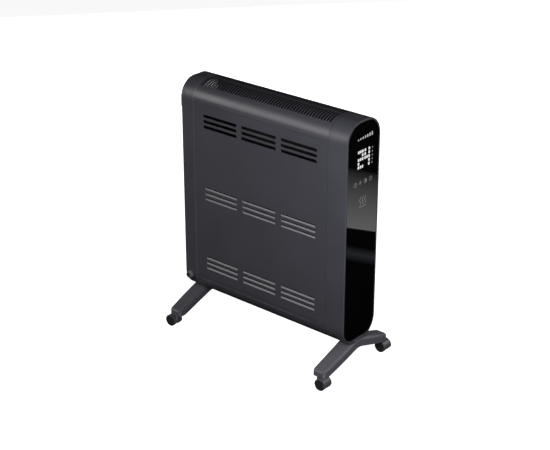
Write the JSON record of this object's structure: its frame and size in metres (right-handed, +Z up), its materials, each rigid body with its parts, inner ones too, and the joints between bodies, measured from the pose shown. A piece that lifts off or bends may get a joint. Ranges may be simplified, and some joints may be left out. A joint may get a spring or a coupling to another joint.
{
  "type": "convector heater",
  "caption": "Free-standing electric convector heater: slim rounded body with louvred front, slotted top, glass control panel on one end, bowed legs and twin-wheel castors.",
  "frame": {"origin": "on the floor under the middle of the heater's outline", "axes": "+Z up; +X along the body towards the glass control panel; -Y out of the louvred front"},
  "size_m": [0.4648, 0.2406, 0.5767],
  "materials": {
    "carrier": "black moulding",
    "screws": "zinc plated",
    "spacers": "white nylon",
    "grilles": "satin charcoal powder coat",
    "gland": "charcoal nylon",
    "boards": "green board",
    "control_glass": "black tempered glass with a clear window",
    "display": "black display block",
    "silicone": "red-brown silicone",
    "element": "extruded aluminium",
    "rod": "stainless tube",
    "terminals": "bright brass",
    "pins": "bright steel",
    "castor_bushes": "white acetal",
    "hoods": "black nylon",
    "wheels": "black nylon",
    "front_panel": "satin charcoal powder coat",
    "end_caps": "fine-grained charcoal moulding",
    "plates": "galvanised sheet",
    "grip": "soft-touch charcoal moulding",
    "legs": "fine-grained charcoal moulding",
    "shield": "heat-proof black",
    "rear_panel": "satin charcoal powder coat",
    "dark_screws": "black plated",
    "relays": "blue housings",
    "cutout": "plated steel disc",
    "springs": "plated spring wire",
    "grommets": "black rubber",
    "loom": "red silicone sleeve"
  },
  "bodies": {
    "heater": {"board_carrier": "carrier", "board_screws": "screws", "board_spacers": "spacers", "bottom_grille": "grilles", "cable_gland": "gland", "control_board": "boards", "control_glass": "control_glass", "display_module": "display", "element_bushes": "silicone", "element_fins": "element", "element_rod": "rod", "element_terminals": "terminals", "front_left_castor_bush": "castor_bushes", "front_panel": "front_panel", "front_right_castor_bush": "castor_bushes", "gland_nut": "gland", "left_end_cap": "end_caps", "left_end_plate": "plates", "left_grip": "grip", "left_leg": "legs", "leg_screws": "screws", "power_board": "boards", "rear_heat_shield": "shield", "rear_left_castor_bush": "castor_bushes", "rear_panel": "rear_panel", "rear_right_castor_bush": "castor_bushes", "rear_screws": "dark_screws", "relays": "relays", "right_end_cap": "end_caps", "right_leg": "legs", "right_partition": "plates", "room_sensor": "carrier", "terminal_block": "spacers", "thermal_cutout": "cutout", "tilt_switch": "carrier", "top_grille": "grilles", "touch_springs": "springs", "wire_grommets": "grommets", "wiring_loom": "loom"},
    "front_left_castor": {"front_left_castor_hood": "hoods", "front_left_castor_stem": "pins", "front_left_castor_axle": "pins"},
    "front_left_outer_wheel": {"front_left_outer_wheel": "wheels"},
    "front_left_inner_wheel": {"front_left_inner_wheel": "wheels"},
    "front_right_castor": {"front_right_castor_hood": "hoods", "front_right_castor_stem": "pins", "front_right_castor_axle": "pins"},
    "front_right_outer_wheel": {"front_right_outer_wheel": "wheels"},
    "front_right_inner_wheel": {"front_right_inner_wheel": "wheels"},
    "rear_left_castor": {"rear_left_castor_hood": "hoods", "rear_left_castor_stem": "pins", "rear_left_castor_axle": "pins"},
    "rear_left_outer_wheel": {"rear_left_outer_wheel": "wheels"},
    "rear_left_inner_wheel": {"rear_left_inner_wheel": "wheels"},
    "rear_right_castor": {"rear_right_castor_hood": "hoods", "rear_right_castor_stem": "pins", "rear_right_castor_axle": "pins"},
    "rear_right_outer_wheel": {"rear_right_outer_wheel": "wheels"},
    "rear_right_inner_wheel": {"rear_right_inner_wheel": "wheels"}
  },
  "joints": [
    {"name": "front_left_swivel", "type": "hinge", "parent": "heater", "child": "front_left_castor", "pos_m": [-0.211, -0.1068, 0.0273], "axis": [0, 0, 1], "continuous": true},
    {"name": "front_left_outer_wheel_spin", "type": "hinge", "parent": "front_left_castor", "child": "front_left_outer_wheel", "pos_m": [-0.2185, -0.1068, 0.0126], "axis": [0, 1, 0], "continuous": true},
    {"name": "front_left_inner_wheel_spin", "type": "hinge", "parent": "front_left_castor", "child": "front_left_inner_wheel", "pos_m": [-0.2185, -0.1068, 0.0126], "axis": [0, 1, 0], "continuous": true},
    {"name": "front_right_swivel", "type": "hinge", "parent": "heater", "child": "front_right_castor", "pos_m": [0.211, -0.1068, 0.0273], "axis": [0, 0, 1], "continuous": true},
    {"name": "front_right_outer_wheel_spin", "type": "hinge", "parent": "front_right_castor", "child": "front_right_outer_wheel", "pos_m": [0.2185, -0.1068, 0.0126], "axis": [0, 1, 0], "continuous": true},
    {"name": "front_right_inner_wheel_spin", "type": "hinge", "parent": "front_right_castor", "child": "front_right_inner_wheel", "pos_m": [0.2185, -0.1068, 0.0126], "axis": [0, 1, 0], "continuous": true},
    {"name": "rear_left_swivel", "type": "hinge", "parent": "heater", "child": "rear_left_castor", "pos_m": [-0.211, 0.1068, 0.0273], "axis": [0, 0, 1], "continuous": true},
    {"name": "rear_left_outer_wheel_spin", "type": "hinge", "parent": "rear_left_castor", "child": "rear_left_outer_wheel", "pos_m": [-0.2185, 0.1068, 0.0126], "axis": [0, 1, 0], "continuous": true},
    {"name": "rear_left_inner_wheel_spin", "type": "hinge", "parent": "rear_left_castor", "child": "rear_left_inner_wheel", "pos_m": [-0.2185, 0.1068, 0.0126], "axis": [0, 1, 0], "continuous": true},
    {"name": "rear_right_swivel", "type": "hinge", "parent": "heater", "child": "rear_right_castor", "pos_m": [0.211, 0.1068, 0.0273], "axis": [0, 0, 1], "continuous": true},
    {"name": "rear_right_outer_wheel_spin", "type": "hinge", "parent": "rear_right_castor", "child": "rear_right_outer_wheel", "pos_m": [0.2185, 0.1068, 0.0126], "axis": [0, 1, 0], "continuous": true},
    {"name": "rear_right_inner_wheel_spin", "type": "hinge", "parent": "rear_right_castor", "child": "rear_right_inner_wheel", "pos_m": [0.2185, 0.1068, 0.0126], "axis": [0, 1, 0], "continuous": true}
  ]
}
